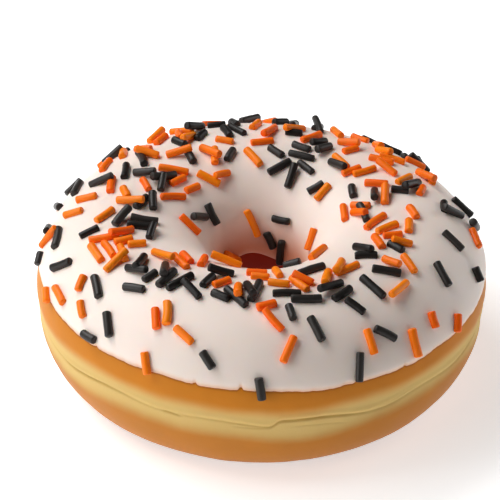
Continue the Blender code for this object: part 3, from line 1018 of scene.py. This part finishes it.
# Sprinkles that stand out on the slopes, at the rims and in the hole, where the photograph shows
# them: across and down to one end and to the other, in pixels
BLACK_SEEN = (
    (40.5, 253, 37.5, 265.5), (52, 269.5, 71, 262), (94.5, 277, 99, 298), (83, 333.5, 95.5, 341),
    (107, 312.5, 110, 337.5), (58.5, 229, 54.5, 248.5), (79.5, 237.5, 98.5, 228),
    (123.5, 287, 144.5, 290), (143.5, 281, 156.5, 272), (158, 286.5, 175, 271), (167, 289.5, 193, 275.5),
    (202.5, 286.5, 213.5, 276), (226, 289, 246.5, 306), (250.5, 301, 260, 282),
    (202.5, 351.5, 213.5, 368.5), (259, 377.5, 262.5, 400), (288.5, 305, 293.5, 319.5),
    (310, 317, 322.5, 341), (291, 298.5, 322, 298.5), (333.5, 299, 351, 287.5), (346, 299, 364.5, 312.5),
    (361, 277, 384.5, 297.5), (372, 268.5, 401, 273.5), (374.5, 328, 396, 338.5),
    (360, 351.5, 359, 381.5), (298.5, 274, 324.5, 265.5), (436, 262, 449, 285.5),
    (474.5, 266.5, 480.5, 281), (443.5, 231.5, 462.5, 249.5), (206.5, 204, 217, 225),
    (282.5, 240.5, 280, 264), (266, 232.5, 273.5, 248.5), (272, 218, 289.5, 221.5),
)
ORANGE_SEEN = (
    (90.5, 246, 101.5, 261.5), (84, 276, 78, 291.5), (55, 287.5, 63.5, 304), (80.5, 301.5, 83.5, 318),
    (46, 288.5, 47, 303), (50.5, 300, 58, 313), (74, 324, 78.5, 333), (167.5, 302, 166.5, 325),
    (155.5, 308.5, 157, 329.5), (175.5, 327.5, 192.5, 343), (145, 352, 148.5, 375),
    (199.5, 276, 195, 294), (251, 276, 269.5, 277.5), (257, 308, 276.5, 303), (264, 312, 283, 330),
    (294.5, 336, 283, 362.5), (291, 278, 308, 290), (336, 273.5, 358.5, 263.5), (388.5, 299, 407.5, 281),
    (403, 255, 415, 272), (366.5, 328.5, 374.5, 354), (411, 328, 418, 356.5), (431, 311, 436, 327.5),
    (457.5, 313, 457, 331.5), (471.5, 228.5, 479, 246.5), (314.5, 228, 307.5, 250),
    (311, 258, 325, 247), (225, 254, 239, 261.5), (246, 210, 258, 236.5),
)

DRIFTS = (
    Drift(197, 213, 16.0, 21.5, 6, 100),
    Drift(228, 266, 17.5, 23.0, 8, 10),
    Drift(222, 240, 22.5, 29.5, 5, 100),
    Drift(186, 200, 22.0, 28.5, 5, 0),
    Drift(262, 288, 23.5, 28.5, 4, 90),
    Drift(330, 350, 18.5, 25.0, 6, 85),
    Drift(350, 385, 16.0, 31.0, 12, 55),
    Drift(240, 332, 17.5, 24.5, 8, 35),
    Drift(0, 360, 17.5, 28.0, 36, 50),
    Drift(20, 192, 10.5, 24.5, 37, 60),
    Drift(30, 165, 26.5, 33.5, 12, 55),
    Drift(0, 360, 30.5, 40.5, 5, 45),
    Drift(152, 184, 1.5, 13.5, 5, 50),
    Drift(0, 30, 3.5, 13.5, 5, 45),
    Drift(25, 150, 1.5, 10.5, 16, 50),
)


@dataclass
class Sprinkles:
    """Lays sprinkles one after another, each on the icing or leaning on one that lies there."""

    form: RingForm
    icing: Icing
    seed: int = 36
    radii: tuple[float, float] = (0.76 * MM, 0.88 * MM)
    lengths: tuple[float, float] = (3.5 * MM, 6.3 * MM)
    sink: float = 0.28
    touch: float = 0.86
    rest: float = 0.80
    steepest_lean: float = math.radians(18)
    least_crossing: float = math.radians(28)
    tries: int = 40
    mark_count: int = 7
    laid: list[Strand] = field(default_factory=list)

    def __post_init__(self) -> None:
        """Starts the draw and reads the icing's top."""
        self.draw = random.Random(self.seed)
        self.top = IcingTop(self.form, self.icing)
        self.marks = np.linspace(-0.5, 0.5, self.mark_count)

    def along(self, strand: Strand) -> np.ndarray:
        """Marks along a strand's axis."""
        return strand.centre + np.outer(self.marks, strand.direction) * strand.length

    def seated(self, strand: Strand) -> Strand:
        """The strand moved in or out until its lowest mark is sunk as deep as it should be."""
        seat = strand.radius * (1 - 2 * self.sink)
        lowest = self.top.clearance(self.along(strand)).min()
        return strand._replace(centre=strand.centre + strand.normal * (seat - lowest))

    def lay(self, strand: Strand) -> bool:
        """Lays one strand and says whether it found room."""
        strand = self.seated(strand)
        crossed = self.crossings(strand)
        if len(crossed) == 1:
            strand = self.leaning(strand, *crossed[0])
            crossed = crossed if strand is None else self.crossings(strand)[1:]
        if crossed:
            return False
        self.laid.append(strand)
        return True

    def crossings(self, strand: Strand) -> list[tuple[Strand, float]]:
        """Strands that one would cut into, each with the mark of the one that is nearest to it."""
        marks = self.along(strand)
        found = []
        for other in self.laid:
            reach = (strand.length + other.length) / 2 + strand.radius + other.radius
            if np.linalg.norm(other.centre - strand.centre) > reach:
                continue
            distances = np.linalg.norm(marks[:, None, :] - self.along(other)[None, :, :], axis=2)
            if distances.min() < self.touch * (strand.radius + other.radius):
                found.append((other, self.marks[np.argmin(distances.min(axis=1))]))
        return found

    def leaning(self, strand: Strand, other: Strand, mark: float) -> Strand | None:
        """Raises one end of a strand onto another.

        Args:
            strand: The strand to raise.
            other: The one that it leans on.
            mark: Place along the strand that is nearest to the other.

        Returns:
            The raised strand, or None where that would look forced.
        """
        angle = math.acos(min(abs(float(strand.direction @ other.direction)), 1.0))
        arm = (abs(mark) + 0.5) * strand.length
        rise = math.atan2(self.rest * (strand.radius + other.radius), arm)
        if angle < self.least_crossing or rise > self.steepest_lean:
            return None
        outward = strand.direction if mark >= 0 else -strand.direction
        foot = strand.centre - outward * strand.length / 2
        raised = outward * math.cos(rise) + strand.normal * math.sin(rise)
        normal = strand.normal * math.cos(rise) - outward * math.sin(rise)
        centre = foot + raised * strand.length / 2
        return self.seated(strand._replace(centre=centre, direction=raised, normal=normal))

    def strew(self) -> None:
        """Lays the strands that stand out and then those of the drifts."""
        sight = Sight()
        for seen, orange in ((BLACK_SEEN, False), (ORANGE_SEEN, True)):
            for ends in seen:
                self.lay_seen(sight, ends, orange)
        for drift in DRIFTS:
            for _ in range(drift.count):
                self.lay_in_drift(drift)

    def lay_seen(self, sight: Sight, ends: Sequence[float], orange: bool) -> None:
        """Lays one strand where the photograph shows its two ends.

        Args:
            sight: How the photograph shows the ring.
            ends: Across and down to one end and to the other, in pixels.
            orange: Whether it is orange.
        """
        first, last = self.top.seen(sight, *ends[:2]), self.top.seen(sight, *ends[2:])
        centre, span = (first + last) / 2, last - first
        length = np.linalg.norm(span)
        direction = span / length
        normal = self.top.normal(centre)
        normal -= (normal @ direction) * direction
        normal /= np.linalg.norm(normal)
        length = min(length, self.lengths[1])
        self.lay(Strand(centre, direction, normal, length, self.draw.uniform(*self.radii), orange))

    def lay_in_drift(self, drift: Drift) -> None:
        """Lays one strand somewhere in a drift, at the first place that has room."""
        length = self.draw.uniform(*self.lengths)
        radius = self.draw.uniform(*self.radii)
        orange = self.draw.random() < drift.orange / 100
        for _ in range(self.tries):
            azimuth = math.radians(self.draw.uniform(drift.start, drift.end))
            reach = self.draw.uniform(drift.near * MM, drift.far * MM)
            point, uphill, sideways, normal = self.top.frame(azimuth, reach)
            heading = self.draw.uniform(-math.pi / 2, math.pi / 2)
            direction = math.cos(heading) * uphill + math.sin(heading) * sideways
            if self.lay(Strand(point, direction, normal, length, radius, orange)):
                return

    def build(self, dye: Dye) -> bpy.types.Object:
        """Builds and dresses all the strands of one colour as one piece."""
        maker = StrandMaker(self.form, random.Random(self.seed + 1))
        for strand in self.laid:
            if strand.orange == (dye is Dye.ORANGE):
                maker.add(strand)
        piece = mesh_object(f"sprinkles_{dye.name.lower()}", np.array(maker.points), maker.faces,
                            {"tone": np.array(maker.tones)})
        piece.data.materials.append(dye.value.material())
        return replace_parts(piece, "icing")


class StrandMaker:
    """Makes the meshes of strands: blunt sticks with rounded ends, slightly bent and uneven."""

    SIDES = 14
    ROUND = 0.36
    END_TURNS = (0.0, 0.45, 0.95, 1.35)
    MIDDLES = (-0.5, 0.0, 0.5)
    MOST_BEND = 0.05
    UPWARD_BEND = 0.3
    UNEVEN = 0.05
    UNEVEN_SPACING = 1.1 * MM
    UNEVEN_SHIFT = 11.0

    def __init__(self, form: RingForm, draw: random.Random) -> None:
        """Starts with no strand."""
        self.form = form
        self.draw = draw
        self.points: list[Sequence[float]] = []
        self.faces: list[Sequence[int]] = []
        self.tones: list[float] = []

    def profile(self, strand: Strand) -> list[tuple[float, float]]:
        """Distance along the axis and radius of each ring, from end to end."""
        half = strand.length / 2
        corner = strand.radius * self.ROUND
        end = [(half - corner + corner * math.sin(turn), strand.radius - corner + corner * math.cos(turn))
               for turn in self.END_TURNS]
        middle = [(share * (half - corner), strand.radius) for share in self.MIDDLES]
        return [(-along, across) for along, across in reversed(end)] + middle + end

    def add(self, strand: Strand) -> None:
        """Adds one strand."""
        sideways = np.cross(strand.direction, strand.normal)
        bend_turn = self.draw.uniform(0, 2 * math.pi)
        bend = self.draw.uniform(0.0, self.MOST_BEND) * strand.length
        bend_way = sideways * math.cos(bend_turn) + strand.normal * math.sin(bend_turn) * self.UPWARD_BEND
        tone = self.draw.random()
        start = len(self.points)
        rows = self.profile(strand)
        half = strand.length / 2
        places = []
        for along, across in rows:
            centre = strand.centre + along * strand.direction + bend_way * bend * (1 - (along / half) ** 2)
            for index in range(self.SIDES):
                turn = 2 * math.pi * index / self.SIDES
                spoke = math.cos(turn) * strand.normal + math.sin(turn) * sideways
                places.append(centre + across * spoke)
        for side in (-1, 1):
            places.append(strand.centre + side * half * strand.direction)
        places = np.array(places)
        uneven = 1 + self.UNEVEN * lumps(places, self.UNEVEN_SPACING, 1, self.UNEVEN_SHIFT)[:, None]
        axis = (places - strand.centre) @ strand.direction
        core = strand.centre + axis[:, None] * strand.direction
        places = core + (places - core) * uneven
        azimuth = np.arctan2(places[:, 1], places[:, 0])
        settled = self.form.settled(np.hypot(places[:, 0], places[:, 1]), places[:, 2], azimuth)
        self.points.extend(settled.tolist())
        self.tones.extend([tone] * len(places))
        self.skin(start, len(rows))

    def skin(self, start: int, rows: int) -> None:
        """Adds the faces of one strand."""
        for row in range(rows - 1):
            for index in range(self.SIDES):
                after = (index + 1) % self.SIDES
                low, high = start + row * self.SIDES, start + (row + 1) * self.SIDES
                self.faces.append((low + index, high + index, high + after, low + after))
        first, last = start, start + (rows - 1) * self.SIDES
        foot, head = start + rows * self.SIDES, start + rows * self.SIDES + 1
        for index in range(self.SIDES):
            after = (index + 1) % self.SIDES
            self.faces.append((first + index, first + after, foot))
            self.faces.append((last + after, last + index, head))


@dataclass(frozen=True)
class Lamp:
    """A soft square light: angles in degrees, lengths in metres and power in watts."""

    name: str
    azimuth: float
    elevation: float
    power: float
    distance: float = 0.6
    size: float = 0.35
    aim_height: float = 0.02

    def build(self) -> None:
        """Hangs the light and turns it to the doughnut."""
        data = bpy.data.lights.new(self.name, "AREA")
        data.shape = "SQUARE"
        data.size = self.size
        data.energy = self.power
        turn, rise = math.radians(self.azimuth), math.radians(self.elevation)
        toward = Vector((math.cos(turn) * math.cos(rise), math.sin(turn) * math.cos(rise), math.sin(rise)))
        lamp = added(self.name, data)
        lamp.location = Vector((0.0, 0.0, self.aim_height)) + toward * self.distance
        lamp.rotation_euler = toward.to_track_quat("Z", "Y").to_euler()


@dataclass(frozen=True)
class Studio:
    """Pale floor, soft light and the camera."""

    floor_side: float = 6.0
    floor_colour: Colour = Colour(0.95, 0.955, 0.96)
    floor_roughness: float = 0.9
    floor_glow: float = 0.58
    sky_strength: float = 0.0
    sight: Sight = Sight()
    image_size: float = 500.0
    sensor: float = 36.0
    nearest_seen: float = 0.01
    farthest_seen: float = 20.0
    lamps: tuple[Lamp, ...] = (
        Lamp("back", 135, 50, 2.05),
        Lamp("left", 180, 50, 1.65),
        Lamp("low left", 210, 15, 1.2),
        Lamp("low right", 315, 15, 0.25),
        Lamp("right", 25, 15, 0.9),
    )

    def build_floor(self) -> None:
        """Lays the floor."""
        half = self.floor_side / 2
        corners = [(-half, -half, 0), (half, -half, 0), (half, half, 0), (-half, half, 0)]
        mesh = bpy.data.meshes.new("floor")
        mesh.from_pydata(corners, [], [(0, 1, 2, 3)])
        mesh.materials.append(Board("pale floor").dress(
            Base_Color=self.floor_colour,
            Roughness=self.floor_roughness,
            Emission_Color=self.floor_colour,
            Emission_Strength=self.floor_glow,
        ))
        floor = added("floor", mesh)

    def build_sky(self) -> None:
        """Leaves the surroundings dark: the lamps and the floor give all the light."""
        world = bpy.data.worlds.new("studio")
        bpy.context.scene.world = world
        world.use_nodes = True
        world.node_tree.nodes["Background"].inputs["Strength"].default_value = self.sky_strength

    def build_camera(self) -> None:
        """Sets the camera where the photograph was taken from."""
        data = bpy.data.cameras.new("camera")
        focal = self.sight.pixels_per_metre * self.sight.distance
        data.sensor_width = self.sensor
        data.lens = focal * self.sensor / self.image_size
        data.clip_start = self.nearest_seen
        data.clip_end = self.farthest_seen
        camera = added("camera", data)
        back, up = Vector(self.sight.back), Vector(self.sight.up)
        right = Vector((1.0, 0.0, 0.0))
        across = self.image_size / 2 - self.sight.base_pixel[0]
        above = self.sight.base_pixel[1] - self.image_size / 2
        aim = -back * focal + right * across + up * above
        camera.location = back * self.sight.distance
        camera.rotation_euler = aim.to_track_quat("-Z", "Y").to_euler()
        bpy.context.scene.camera = camera

    def build(self) -> None:
        """Builds the whole studio."""
        self.build_floor()
        self.build_sky()
        for lamp in self.lamps:
            lamp.build()
        self.build_camera()
        bpy.context.scene.view_settings.view_transform = "Standard"


def report(piece: bpy.types.Object) -> None:
    """Logs what a piece came out as."""
    LOG.info("%s: %d vertices, %d faces", piece.name, len(piece.data.vertices), len(piece.data.polygons))


def main() -> None:
    """Builds the doughnut and its studio."""
    logging.basicConfig(level=logging.INFO, format="%(message)s")
    form = RingForm()
    icing = Icing(form)
    report(Dough(form).build(icing))
    report(icing.build())
    sprinkles = Sprinkles(form, icing)
    sprinkles.strew()
    for dye in Dye:
        report(sprinkles.build(dye))
    Studio().build()


if __name__ == "__main__":
    main()
